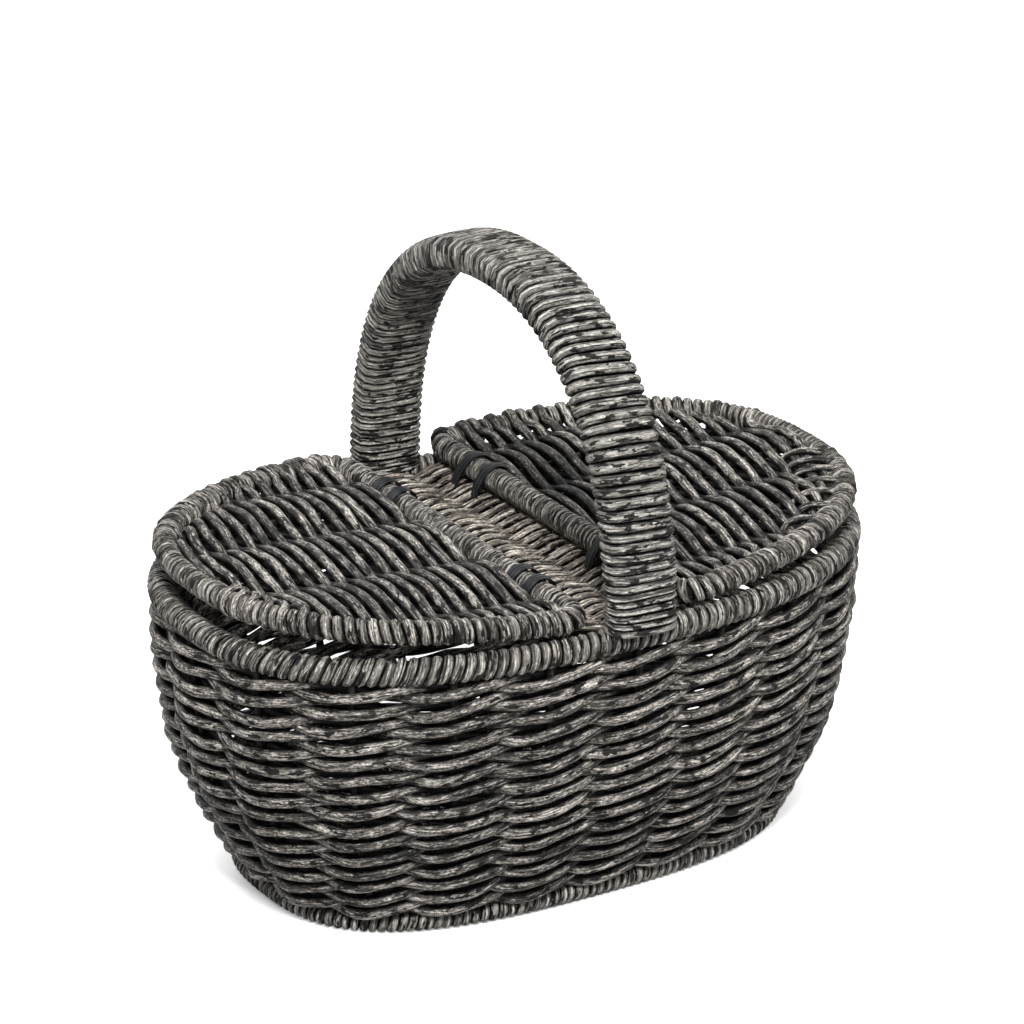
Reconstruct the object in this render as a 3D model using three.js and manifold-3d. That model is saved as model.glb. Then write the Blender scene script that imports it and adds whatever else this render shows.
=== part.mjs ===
// A lidded oval wicker basket with two lids and a wrapped arch handle.
// Millimetres, +Z up, +X along the basket, the handle stands in the YZ plane.
// The origin is on the ground, in the middle of the foot.

import * as THREE from 'three';
import { mergeVertices } from 'three/addons/utils/BufferGeometryUtils.js';
import Module from 'manifold-3d';

const wasm = await Module();
wasm.setup();

// Driving dimensions: the rim
const RIM_LENGTH = 420;            // over the wrapping, end to end
const RIM_WIDTH = 289;             // over the wrapping, front to back
const RIM_DIAMETER = 16;           // of the wrapped border
const RIM_SQUARENESS = 2.42;       // 2 is an ellipse, more is squarer
const RIM_STRAND = 4;              // thickness of its wrapping
const RIM_HEIGHT = 174.6;          // middle of the border above the ground

// Driving dimensions: the foot
const FOOT_LENGTH = 328;           // over the wrapping, end to end
const FOOT_WIDTH = 201;            // over the wrapping, front to back
const FOOT_DIAMETER = 12;          // of the wrapped border
const FOOT_SQUARENESS = 2.85;
const FOOT_STRAND = 3.4;           // thickness of its wrapping
const FOOT_SLOT = 4;               // opening of the wrapping under the stakes

// Driving dimensions: the wall and the base
const WALL_THICKNESS = 5.1;        // of the weave outside the stakes, where a strand passes one
const WALL_COURSES = 15;           // rows of weaving from foot to rim
const COURSE_DEPTH = 3.5;          // how far the valleys between two courses lie inside
const CROSSING_DEPTH = 3.1;        // and the crossings of two strands between two stakes
const STAKE_COUNT = 20;
const STAKE_DIAMETER = 5;
const BASE_THICKNESS = 6;
const BASE_LIFT = 3.5;             // underside of the base above the ground
const BASE_STICK_DIAMETER = 5;
const BASE_STICK_PITCH = 42;
const BASE_STICK_COUNT = 3;

// Share of the way out from foot to rim, at even steps of height
const WALL_SWELL = [0, 0.36, 0.7, 0.89, 0.985, 1];

// Driving dimensions: the handle
const HANDLE_OUTSET = 1.5;         // each leg's middle outside the rim's middle line
const HANDLE_RISE = 172;           // from the feet to the middle of the crown
const HANDLE_SQUARENESS = 2.3;
const HANDLE_WIDTH = 43;
const HANDLE_THICKNESS = 21;
const HANDLE_STRAND = 4;           // thickness of its wrapping
const HANDLE_TURN_PITCH = 6;       // one turn of the wrapping along the arch
const HANDLE_TURN_DEPTH = 1.4;     // depth of the valley between two turns
const HANDLE_EDGE = 5.5;           // bevel of its flat oval section
const HANDLE_RODS = 3;
const HANDLE_FOOT_ABOVE_RIM = 2.4; // foot of the wrapping above the rim's middle

// Driving dimensions: the lids and the bridge between them
const LID_DIAMETER = 15;           // of the wrapped hoop
const LID_STRAND = 3.8;            // thickness of its wrapping
const LID_INSET_END = 2;           // hoop inside the rim's middle line at the tip
const LID_INSET_SIDE = 3;          // and at the front and back
const LID_CORNER_RADIUS = 14;      // where the hoop turns into the hinge bar
const LID_SLOPE = 3.6;             // degrees, each lid rises to its tip
const LID_THICKNESS = 5;           // of the woven panel
const LID_RIB_DIAMETER = 4.6;
const LID_RIB_PITCH = 66;
const LID_RIB_COUNT = 3;
const LID_COURSE_PITCH = 9.3;      // from one woven pair to the next
const LID_CREST = 6;               // of a strand over a rib, above the panel's middle
const LID_CROSSING = 3.6;          // of two strands between two ribs
const LID_VALLEY = 2.9;            // between two pairs
const LID_CREST_LENGTH = 32;       // how long a strand stays high over its rib
const LEFT_HINGE = 34;             // from the handle's plane to each hinge bar
const RIGHT_HINGE = 31;
const BRIDGE_THICKNESS = 7;
const RAIL_DIAMETER = 12;
const BRIDGE_RIB_DIAMETER = 6;
const TIE_WIDTH = 9;
const TIE_THICKNESS = 1.6;
const TIE_PLAY = 0.8;              // running room of a tie round its bars

// Places of the ties, as shares of the way from the middle to the rim
const LEFT_TIES = [-0.645, -0.513, 0.45, 0.571];
const RIGHT_TIES = [-0.535, -0.41, 0.49, 0.645];

// Fits and fineness
const CLEARANCE = 0.3;
const STATIONS_PER_STAKE = 2;
const BORDER_SIDES = 8;
const CAVITY_SIDES = 6;
const ROD_SIDES = 8;
const CORE_SIDES = 6;
const WALL_STEPS = 4;              // of the stakes and of the wall's inner face
const LID_CURVE_STEPS = 24;
const TIE_STEPS = 5;               // of each end of a tie
const BORE_STEP = 5;               // turns of the handle for each ring of its bore
const ROD_STEPS = 20;

// Sizes that follow
const stations = STAKE_COUNT * STATIONS_PER_STAKE;
const rimRadius = RIM_DIAMETER / 2;
const footRadius = FOOT_DIAMETER / 2;
const lidRadius = LID_DIAMETER / 2;
const railRadius = RAIL_DIAMETER / 2;
const stakeRadius = STAKE_DIAMETER / 2;
const rimLine = oval(RIM_LENGTH / 2 - rimRadius, RIM_WIDTH / 2 - rimRadius, RIM_SQUARENESS);
const footLine = oval(FOOT_LENGTH / 2 - footRadius, FOOT_WIDTH / 2 - footRadius, FOOT_SQUARENESS);
const lidLine = oval(rimLine.length - LID_INSET_END, rimLine.width - LID_INSET_SIDE, RIM_SQUARENESS);
const lidHeight = RIM_HEIGHT + rimRadius + CLEARANCE + lidRadius;
const railHeight = lidHeight - lidRadius - CLEARANCE - railRadius;
const handleFoot = RIM_HEIGHT + HANDLE_FOOT_ABOVE_RIM;
const handleLine = oval(rimLine.width + HANDLE_OUTSET, HANDLE_RISE, HANDLE_SQUARENESS);

// Materials
const strandMaterial = finish('#6b665e', 0.75);
const wrapMaterial = finish('#86817a', 0.7);
const rodMaterial = finish('#5d554a', 0.8);
const tieMaterial = finish('#36393a', 0.55);

function finish(color, roughness) {
  return new THREE.MeshStandardMaterial({ color, roughness, metalness: 0 });
}

// Ovals: half sizes and squareness
function oval(length, width, squareness) {
  return { length, width, squareness };
}

function grown(shape, by) {
  return oval(shape.length + by, shape.width + by, shape.squareness);
}

function between(low, high, share) {
  return oval(
    THREE.MathUtils.lerp(low.length, high.length, share),
    THREE.MathUtils.lerp(low.width, high.width, share),
    THREE.MathUtils.lerp(low.squareness, high.squareness, share),
  );
}

function ovalPoint(shape, angle) {
  const c = Math.cos(angle);
  const s = Math.sin(angle);
  const n = shape.squareness;
  const r = (Math.abs(c) ** n + Math.abs(s) ** n) ** (-1 / n);
  return new THREE.Vector2(shape.length * c * r, shape.width * s * r);
}

// Half width of an oval at a distance along it
function ovalWidthAt(shape, x) {
  const rest = 1 - (Math.abs(x) / shape.length) ** shape.squareness;
  return shape.width * Math.max(rest, 0) ** (1 / shape.squareness);
}

// Distance along an oval where it has a given half width
function ovalLengthAt(shape, y) {
  return ovalWidthAt(oval(shape.width, shape.length, shape.squareness), y);
}

// Angles that cut an oval, or part of it, into even lengths
function evenAngles(shape, count, from, to) {
  const fine = 1440;
  const angles = [from];
  const lengths = [0];
  let last = ovalPoint(shape, from);
  for (let i = 1; i <= fine; i += 1) {
    const angle = from + (to - from) * i / fine;
    const point = ovalPoint(shape, angle);
    angles.push(angle);
    lengths.push(lengths[i - 1] + point.distanceTo(last));
    last = point;
  }
  const result = [];
  let k = 0;
  for (let i = 0; i <= count; i += 1) {
    const wanted = lengths[fine] * i / count;
    while (k < fine - 1 && lengths[k + 1] < wanted) k += 1;
    const share = (wanted - lengths[k]) / (lengths[k + 1] - lengths[k]);
    result.push(THREE.MathUtils.lerp(angles[k], angles[k + 1], share));
  }
  return result;
}

const stationAngles = evenAngles(rimLine, stations, 0, 2 * Math.PI).slice(0, stations);

// The same stations on any oval of the basket, as 3-D points at one height
function ringPoints(shape, height) {
  return stationAngles.map((angle) => {
    const p = ovalPoint(shape, angle);
    return new THREE.Vector3(p.x, p.y, height);
  });
}

// Outward directions of a closed, level, anticlockwise line
function outwards(points) {
  return points.map((p, i) => {
    const before = points[(i + points.length - 1) % points.length];
    const after = points[(i + 1) % points.length];
    return new THREE.Vector3(after.y - before.y, before.x - after.x, 0).normalize();
  });
}

// A skin over rows of points: each row is one closed section of the body
function skin(rows, closed) {
  const sides = rows[0].length;
  const positions = rows.flat().flatMap((p) => [p.x, p.y, p.z]);
  const index = [];
  const steps = closed ? rows.length : rows.length - 1;
  for (let i = 0; i < steps; i += 1) {
    const a = i * sides;
    const b = ((i + 1) % rows.length) * sides;
    for (let j = 0; j < sides; j += 1) {
      const k = (j + 1) % sides;
      index.push(a + j, a + k, b + k, a + j, b + k, b + j);
    }
  }
  if (!closed) {
    const last = (rows.length - 1) * sides;
    for (let j = 1; j < sides - 1; j += 1) {
      index.push(0, j + 1, j, last, last + j, last + j + 1);
    }
  }
  return body(positions, index);
}

// A sleeve: an outer skin, a bore with fewer rings, and a rim at each end
function sleeve(outer, inner) {
  const sides = outer[0].length;
  const positions = [...outer, ...inner].flat().flatMap((p) => [p.x, p.y, p.z]);
  const index = [];
  const quad = (a, b, c, d) => index.push(a, b, c, a, c, d);
  const bore = outer.length * sides;
  const outerEnd = bore - sides;
  const boreEnd = bore + (inner.length - 1) * sides;
  for (let j = 0; j < sides; j += 1) {
    const k = (j + 1) % sides;
    for (let a = 0; a < outerEnd; a += sides) quad(a + j, a + k, a + k + sides, a + j + sides);
    for (let a = bore; a < boreEnd; a += sides) quad(a + k, a + j, a + j + sides, a + k + sides);
    quad(bore + j, bore + k, k, j);
    quad(outerEnd + j, outerEnd + k, boreEnd + k, boreEnd + j);
  }
  return body(positions, index);
}

// A closed body whose faces point out
function body(positions, index) {
  let volume = 0;
  const corner = (i) => new THREE.Vector3().fromArray(positions, 3 * i);
  for (let i = 0; i < index.length; i += 3) {
    const [a, b, c] = [index[i], index[i + 1], index[i + 2]].map(corner);
    volume += a.dot(b.cross(c));
  }
  if (volume < 0) index.reverse();
  const geometry = new THREE.BufferGeometry();
  geometry.setAttribute('position', new THREE.Float32BufferAttribute(positions, 3));
  geometry.setIndex(index);
  return geometry;
}

// Cutting one body with others
function toSolid(geometry) {
  const bare = geometry.clone();
  bare.deleteAttribute('normal');
  bare.deleteAttribute('uv');
  const merged = mergeVertices(bare, 1e-4);
  const vertProperties = new Float32Array(merged.attributes.position.array);
  const triVerts = new Uint32Array(merged.index.array);
  return new wasm.Manifold(new wasm.Mesh({ numProp: 3, vertProperties, triVerts }));
}

function cut(geometry, tools) {
  let solid = toSolid(geometry);
  for (const tool of tools) solid = solid.subtract(toSolid(tool));
  return fromSolid(solid);
}

function fromSolid(solid) {
  const mesh = solid.getMesh();
  const result = new THREE.BufferGeometry();
  result.setAttribute('position', new THREE.BufferAttribute(new Float32Array(mesh.vertProperties), 3));
  result.setIndex(new THREE.BufferAttribute(new Uint32Array(mesh.triVerts), 1));
  return result;
}

// Flat sections, as points (out, up)
function roundSection(radius, sides) {
  return Array.from({ length: sides }, (_, i) => {
    const angle = (i + 0.5) * 2 * Math.PI / sides;
    return new THREE.Vector2(radius * Math.cos(angle), radius * Math.sin(angle));
  });
}

// A round border's wrapping: a ring that is open on one side, towards an angle
function wrapSection(radius, strand, slot, towards) {
  const cavity = (radius - strand) / Math.cos(Math.PI / (CAVITY_SIDES - 1));
  const arc = (r, count, reversed) => {
    const half = Math.asin(slot / 2 / r);
    return Array.from({ length: count }, (_, i) => {
      const share = reversed ? 1 - i / (count - 1) : i / (count - 1);
      const angle = towards + half + (2 * Math.PI - 2 * half) * share;
      return new THREE.Vector2(r * Math.cos(angle), r * Math.sin(angle));
    });
  };
  return [...arc(radius, BORDER_SIDES, false), ...arc(cavity, CAVITY_SIDES, true)];
}

// A flat section carried round a closed, level line
function carried(points, section) {
  const normals = outwards(points);
  return points.map((p, i) => section.map((s) => (
    p.clone().addScaledVector(normals[i], s.x).add(new THREE.Vector3(0, 0, s.y))
  )));
}

function border(points, section) {
  return skin(carried(points, section), true);
}

const core = (radius, strand) => roundSection(radius - strand - CLEARANCE, CORE_SIDES);

// A straight round bar along X or Y
function bar(diameter, length, along, sides = ROD_SIDES) {
  const geometry = new THREE.CylinderGeometry(diameter / 2, diameter / 2, length, sides);
  geometry.rotateY(Math.PI / sides);
  if (along === 'x') geometry.rotateZ(Math.PI / 2);
  return geometry;
}

// A flat outline given a thickness
function plate(outline, depth, curveSegments = 12) {
  return new THREE.ExtrudeGeometry(outline, { depth, bevelEnabled: false, curveSegments });
}

const basket = new THREE.Group();

function add(group, name, geometry, material) {
  const mesh = new THREE.Mesh(geometry, material);
  mesh.name = name;
  group.add(mesh);
  return mesh;
}

// The foot: a wrapped border whose flat underside is what the basket stands on
const footSection = wrapSection(footRadius, FOOT_STRAND, FOOT_SLOT, Math.PI / 2);
const footMiddle = -Math.min(...footSection.map((s) => s.y));
const footTop = footMiddle + footRadius;
const footRing = ringPoints(footLine, footMiddle);
add(basket, 'foot_core', border(footRing, core(footRadius, FOOT_STRAND)), rodMaterial);
add(basket, 'foot_wrap', border(footRing, footSection), wrapMaterial);

// The base: an oval panel on sticks that lie in grooves of its underside
function baseOutline(inset) {
  const edge = grown(footLine, -footRadius - inset);
  return new THREE.Shape(stationAngles.map((angle) => ovalPoint(edge, angle)));
}

const baseSticks = [];
for (let i = 0; i < BASE_STICK_COUNT; i += 1) {
  const y = (i - (BASE_STICK_COUNT - 1) / 2) * BASE_STICK_PITCH;
  const reach = ovalLengthAt(grown(footLine, -footRadius), Math.abs(y) + BASE_STICK_DIAMETER / 2);
  baseSticks.push({ y, length: 2 * (reach - 2 * STAKE_DIAMETER) });
}
const basePanel = plate(baseOutline(CLEARANCE), BASE_THICKNESS);
basePanel.translate(0, 0, BASE_LIFT);
const baseGrooves = baseSticks.map(({ y, length }) => (
  bar(BASE_STICK_DIAMETER + 4 * CLEARANCE, length + 2 * CLEARANCE, 'x').translate(0, y, BASE_LIFT)
));
add(basket, 'base_panel', cut(basePanel, baseGrooves), strandMaterial);
baseSticks.forEach(({ y, length }, i) => {
  const stick = add(basket, `base_stick_${i + 1}`, bar(BASE_STICK_DIAMETER, length, 'x'), rodMaterial);
  stick.position.set(0, y, BASE_LIFT);
});

// The wall: stakes follow the middle line, the weave lies outside them
const swell = new THREE.SplineCurve(
  WALL_SWELL.map((share, i) => new THREE.Vector2(i / (WALL_SWELL.length - 1), share)),
);

function wallLine(height) {
  const rise = (height - footMiddle) / (RIM_HEIGHT - footMiddle);
  return between(footLine, rimLine, swell.getPoint(rise).y);
}

const wallBottom = footTop + CLEARANCE;
const wallTop = RIM_HEIGHT - rimRadius - CLEARANCE;

function wallRing(height, out) {
  return ringPoints(grown(wallLine(height), out), height);
}

function heights(count, from, to) {
  return Array.from({ length: count + 1 }, (_, i) => THREE.MathUtils.lerp(from, to, i / count));
}

const insideOut = stakeRadius + CLEARANCE;
const outerRings = heights(2 * WALL_COURSES, wallBottom, wallTop).map((height, i) => {
  const ring = (depth) => wallRing(height, insideOut + WALL_THICKNESS - (i % 2 ? depth : COURSE_DEPTH));
  const [atStakes, between] = [ring(0), ring(CROSSING_DEPTH)];
  return atStakes.map((p, k) => (k % STATIONS_PER_STAKE ? between[k] : p));
});
const innerRings = heights(WALL_STEPS, wallBottom, wallTop).map((height) => wallRing(height, insideOut));
const wallRows = stationAngles.map((_, i) => (
  [...outerRings.map((ring) => ring[i]), ...innerRings.map((ring) => ring[i]).reverse()]
));
add(basket, 'wall_weave', skin(wallRows, true), strandMaterial);

const stakeTop = RIM_HEIGHT - (rimRadius - RIM_STRAND) - CLEARANCE;
const stakeHeights = heights(WALL_STEPS, wallBottom, wallTop).concat(stakeTop);
const stakeRings = stakeHeights.map((height) => wallRing(height, 0));
const stakeDirections = stakeRings.map(outwards);
for (let k = 0; k < STAKE_COUNT; k += 1) {
  const at = k * STATIONS_PER_STAKE;
  const rows = stakeRings.map((ring, level) => {
    const out = stakeDirections[level][at];
    const across = new THREE.Vector3(-out.y, out.x, 0);
    return roundSection(stakeRadius, CORE_SIDES).map((s) => (
      ring[at].clone().addScaledVector(out, s.x).addScaledVector(across, s.y)
    ));
  });
  add(basket, `stake_${String(k + 1).padStart(2, '0')}`, skin(rows, false), rodMaterial);
}

// The rim: a wrapped border that the stakes' tops go up into
const rimSection = wrapSection(rimRadius, RIM_STRAND, STAKE_DIAMETER + 4 * CLEARANCE, -Math.PI / 2);
const rimRing = ringPoints(rimLine, RIM_HEIGHT);
add(basket, 'rim_core', border(rimRing, core(rimRadius, RIM_STRAND)), rodMaterial);
add(basket, 'rim_wrap', border(rimRing, rimSection), wrapMaterial);

// What stands on the rim is cut to its round top, a clearance away
const rimSaddle = border(rimRing, roundSection((rimRadius + CLEARANCE) / Math.cos(Math.PI / 12), 12));

// The handle: three rods side by side inside one wrapping
const archPoints = heights(48, 0, Math.PI).map((angle) => {
  const p = ovalPoint(handleLine, Math.PI - angle);
  return new THREE.Vector3(0, p.x, handleFoot + p.y);
});
const archLine = new THREE.CatmullRomCurve3(archPoints);
archLine.arcLengthDivisions = 800;

// A section (along X, out of the arch) at a share of the arch's length
function archSection(section, share) {
  const middle = archLine.getPointAt(share);
  const out = new THREE.Vector3(1, 0, 0).cross(archLine.getTangentAt(share)).normalize();
  return section.map((s) => middle.clone().addScaledVector(out, s.y).add(new THREE.Vector3(s.x, 0, 0)));
}

function flatOval(halfWidth, halfThickness, bevel) {
  const [w, t, b] = [halfWidth, halfThickness, bevel];
  return [[w, b - t], [w, t - b], [w - b, t], [b - w, t], [-w, t - b], [-w, b - t], [b - w, -t], [w - b, -t]]
    .map(([x, y]) => new THREE.Vector2(x, y));
}

const handleTurns = Math.round(archLine.getLength() / HANDLE_TURN_PITCH / BORE_STEP) * BORE_STEP;
const crest = flatOval(HANDLE_WIDTH / 2, HANDLE_THICKNESS / 2, HANDLE_EDGE);
const valley = flatOval(
  HANDLE_WIDTH / 2 - HANDLE_TURN_DEPTH, HANDLE_THICKNESS / 2 - HANDLE_TURN_DEPTH, HANDLE_EDGE,
);
const boreWidth = HANDLE_WIDTH / 2 - HANDLE_STRAND;
const boreThickness = HANDLE_THICKNESS / 2 - HANDLE_STRAND;
const bore = flatOval(boreWidth, boreThickness, boreThickness / 2);
const turnRings = heights(2 * handleTurns, 0, 1).map((share, i) => (
  archSection(i % 2 ? crest : valley, share)
));
const boreRings = heights(handleTurns / BORE_STEP, 0, 1).map((share) => archSection(bore, share));
add(basket, 'handle_wrap', cut(sleeve(turnRings, boreRings), [rimSaddle]), wrapMaterial);

const rodPitch = (2 * boreWidth - CLEARANCE) / HANDLE_RODS;
const handleRod = roundSection(Math.min(rodPitch - CLEARANCE, 2 * boreThickness) / 2, CORE_SIDES);
const rodStart = (RIM_HEIGHT + rimRadius + CLEARANCE - handleFoot) / archLine.getLength();
for (let k = 0; k < HANDLE_RODS; k += 1) {
  const x = (k - (HANDLE_RODS - 1) / 2) * rodPitch;
  const section = handleRod.map((s) => new THREE.Vector2(s.x + x, s.y));
  const rows = heights(ROD_STEPS, rodStart, 1 - rodStart).map((share) => archSection(section, share));
  add(basket, `handle_rod_${k + 1}`, skin(rows, false), rodMaterial);
}

// The ties: a flat band round a lid's hinge bar and the rail under it
const tieSides = {
  left: { sign: -1, hinge: LEFT_HINGE, places: LEFT_TIES.map((share) => share * rimLine.width) },
  right: { sign: 1, hinge: RIGHT_HINGE, places: RIGHT_TIES.map((share) => share * rimLine.width) },
};
const tieReach = lidRadius + TIE_PLAY + TIE_THICKNESS;

// A belt round two circles, one above the other, drawn as a path (across, up)
function belt(path, extra) {
  const upper = lidRadius + extra;
  const lower = railRadius + extra;
  const tilt = Math.asin((upper - lower) / (lidHeight - railHeight));
  path.absarc(0, lidHeight, upper, -tilt, Math.PI + tilt, false);
  path.absarc(0, railHeight, lower, Math.PI + tilt, 2 * Math.PI - tilt, false);
  path.closePath();
  return path;
}

function tie() {
  const outline = belt(new THREE.Shape(), TIE_PLAY + TIE_THICKNESS);
  outline.holes.push(belt(new THREE.Path(), TIE_PLAY));
  const geometry = plate(outline, TIE_WIDTH, TIE_STEPS);
  geometry.rotateX(Math.PI / 2);
  return geometry.translate(0, TIE_WIDTH / 2, 0);
}

// The bridge: a woven panel between two rails, with a rib under its middle
const bridgeReach = Math.min(
  handleLine.length - HANDLE_THICKNESS / 2,
  ovalWidthAt(grown(rimLine, -rimRadius), Math.max(LEFT_HINGE, RIGHT_HINGE)),
) - CLEARANCE;
const bridgeLeft = -LEFT_HINGE + railRadius + CLEARANCE;
const bridgeRight = RIGHT_HINGE - railRadius - CLEARANCE;
const bridgeWidth = bridgeRight - bridgeLeft;
const bridgeMiddle = (bridgeLeft + bridgeRight) / 2;
const tieNotch = new THREE.Vector3(
  2 * (tieReach + CLEARANCE), TIE_WIDTH + 4 * CLEARANCE, 4 * RAIL_DIAMETER,
);
const bridgeTools = [
  bar(BRIDGE_RIB_DIAMETER + 4 * CLEARANCE, 2 * bridgeReach + RAIL_DIAMETER, 'y')
    .translate(bridgeMiddle, 0, railHeight - BRIDGE_THICKNESS / 2),
];
for (const [name, { sign, hinge, places }] of Object.entries(tieSides)) {
  const rail = bar(RAIL_DIAMETER, 2 * rimLine.width, 'y').translate(sign * hinge, 0, railHeight);
  add(basket, `bridge_rail_${name}`, cut(rail, [rimSaddle]), wrapMaterial);
  places.forEach((y, i) => {
    add(basket, `hinge_tie_${name}_${i + 1}`, tie(), tieMaterial).position.set(sign * hinge, y, 0);
    bridgeTools.push(new THREE.BoxGeometry(...tieNotch.toArray()).translate(sign * hinge, y, railHeight));
  });
}
const bridgePanel = new THREE.BoxGeometry(bridgeWidth, 2 * bridgeReach, BRIDGE_THICKNESS);
bridgePanel.translate(bridgeMiddle, 0, railHeight);
add(basket, 'bridge_panel', cut(bridgePanel, bridgeTools), strandMaterial);
add(basket, 'bridge_rib', bar(BRIDGE_RIB_DIAMETER, 2 * bridgeReach, 'y'), rodMaterial)
  .position.set(bridgeMiddle, 0, railHeight - BRIDGE_THICKNESS / 2);

// A lid's hoop: the straight hinge bar, two turned corners and the curved side
function hoopLine(hinge) {
  const barHalf = ovalWidthAt(lidLine, hinge) - LID_CORNER_RADIUS;
  const curveX = hinge + LID_CORNER_RADIUS;
  const curveStart = new THREE.Vector2(curveX, ovalWidthAt(lidLine, curveX));
  const startAngle = Math.atan2(curveStart.y / lidLine.width, curveStart.x / lidLine.length);
  const curve = evenAngles(lidLine, LID_CURVE_STEPS, -startAngle, startAngle)
    .map((angle) => ovalPoint(lidLine, angle));
  const corner = new THREE.QuadraticBezierCurve(
    new THREE.Vector2(hinge, barHalf), new THREE.Vector2(hinge, ovalWidthAt(lidLine, hinge)), curveStart,
  ).getPoints(4).slice(0, 4);
  const mirrored = corner.map((p) => new THREE.Vector2(p.x, -p.y));
  return [...mirrored, ...curve, ...corner.reverse()]
    .map((p) => new THREE.Vector3(p.x - hinge, p.y, 0));
}

// The weave on top of a lid: strands side by side that rise over each rib and cross between ribs
function lidRelief(hinge) {
  const steps = 2 * Math.ceil((lidLine.length - hinge) / LID_COURSE_PITCH);
  const section = (y, crest, valley) => {
    const top = Array.from({ length: steps + 1 }, (_, i) => (
      new THREE.Vector3(lidRadius + i * LID_COURSE_PITCH / 2, y, i % 2 ? crest : valley)
    ));
    return [new THREE.Vector3(top[0].x, y, 0), ...top, new THREE.Vector3(top[steps].x, y, 0)];
  };
  const rows = [section(-lidLine.width, LID_CROSSING, LID_CROSSING)];
  for (let i = 0; i <= LID_RIB_COUNT; i += 1) {
    const crossing = (i - LID_RIB_COUNT / 2) * LID_RIB_PITCH;
    rows.push(section(crossing, LID_CROSSING, LID_VALLEY));
    if (i === LID_RIB_COUNT) break;
    const rib = crossing + LID_RIB_PITCH / 2;
    rows.push(section(rib - LID_CREST_LENGTH / 2, LID_CREST, LID_VALLEY));
    rows.push(section(rib + LID_CREST_LENGTH / 2, LID_CREST, LID_VALLEY));
  }
  rows.push(section(lidLine.width, LID_CROSSING, LID_CROSSING));
  return skin(rows, false);
}

// One lid, flat, with its hinge bar on the Y axis and its panel towards +X
function lid(name, { sign, hinge, places }) {
  const group = new THREE.Group();
  const line = hoopLine(hinge);
  const normals = outwards(line);
  const slot = LID_THICKNESS + 4 * CLEARANCE;
  add(group, `lid_${name}_hoop`, border(line, core(lidRadius, LID_STRAND)), rodMaterial);
  add(group, `lid_${name}_wrap`, border(line, wrapSection(lidRadius, LID_STRAND, slot, Math.PI)), wrapMaterial);

  const outline = (inset) => new THREE.Shape(line.map((p, i) => p.clone().addScaledVector(normals[i], -inset)));
  const flat = plate(outline(lidRadius - LID_STRAND + 2 * CLEARANCE), LID_THICKNESS);
  flat.translate(0, 0, -LID_THICKNESS / 2);
  const inside = toSolid(plate(outline(lidRadius + CLEARANCE), lidRadius));
  const panel = fromSolid(toSolid(flat).add(toSolid(lidRelief(hinge)).intersect(inside)));
  const ribStart = tieReach + 2 * CLEARANCE;
  const ribs = Array.from({ length: LID_RIB_COUNT }, (_, i) => {
    const y = (i - (LID_RIB_COUNT - 1) / 2) * LID_RIB_PITCH;
    const end = grown(lidLine, -lidRadius - LID_STRAND);
    const ribEnd = ovalLengthAt(end, Math.abs(y) + LID_RIB_DIAMETER / 2) - hinge;
    return { y, length: ribEnd - ribStart, middle: (ribStart + ribEnd) / 2 };
  });
  const tools = ribs.map(({ y, length, middle }) => (
    bar(LID_RIB_DIAMETER + 4 * CLEARANCE, length + 2 * CLEARANCE, 'x').translate(middle, y, -LID_THICKNESS / 2)
  ));
  places.forEach((y) => {
    const notch = new THREE.BoxGeometry(2 * (tieReach + CLEARANCE), TIE_WIDTH + 4 * CLEARANCE, 4 * LID_THICKNESS);
    tools.push(notch.translate(0, sign * y, 0));
  });
  add(group, `lid_${name}_panel`, cut(panel, tools), strandMaterial);
  ribs.forEach(({ y, length, middle }, i) => {
    add(group, `lid_${name}_rib_${i + 1}`, bar(LID_RIB_DIAMETER, length, 'x'), rodMaterial)
      .position.set(middle, y, -LID_THICKNESS / 2);
  });
  group.rotation.y = THREE.MathUtils.degToRad(-LID_SLOPE);
  return group;
}

for (const [name, side] of Object.entries(tieSides)) {
  const place = new THREE.Group();
  place.add(lid(name, side));
  place.position.set(side.sign * side.hinge, 0, lidHeight);
  place.rotation.z = side.sign < 0 ? Math.PI : 0;
  basket.add(place);
}

export default basket;
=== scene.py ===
# %% [markdown]
# # An oval wicker basket with two lids
# The plain solids of the basket are loaded as a fixed frame. This lesson weaves and winds real strands
# over them: every strand is one straight cane that is bent along its path, as a basket maker bends it.

import math
import random
from functools import partial

import bmesh
import bpy
import numpy as np
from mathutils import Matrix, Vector


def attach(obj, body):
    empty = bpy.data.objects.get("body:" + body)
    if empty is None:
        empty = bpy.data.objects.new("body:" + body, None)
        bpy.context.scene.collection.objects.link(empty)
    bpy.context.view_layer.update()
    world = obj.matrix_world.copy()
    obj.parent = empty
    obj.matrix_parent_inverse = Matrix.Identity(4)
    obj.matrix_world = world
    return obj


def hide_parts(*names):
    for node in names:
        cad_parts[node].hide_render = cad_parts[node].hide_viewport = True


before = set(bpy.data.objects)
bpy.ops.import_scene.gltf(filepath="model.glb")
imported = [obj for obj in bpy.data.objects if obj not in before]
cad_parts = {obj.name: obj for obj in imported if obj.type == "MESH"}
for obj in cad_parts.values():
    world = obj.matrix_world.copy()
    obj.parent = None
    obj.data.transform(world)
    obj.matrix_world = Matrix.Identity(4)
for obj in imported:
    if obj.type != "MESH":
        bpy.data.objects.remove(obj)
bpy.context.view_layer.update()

# %% [markdown]
# All sizes below are in millimetres, as a maker would say them, and become metres only when a mesh is
# made. The photograph was taken from a little above, slightly to the left, with a long lens.

# %% Camera
MM = 0.001
SENSOR, FAR_CLIP = 36, 20


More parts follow.
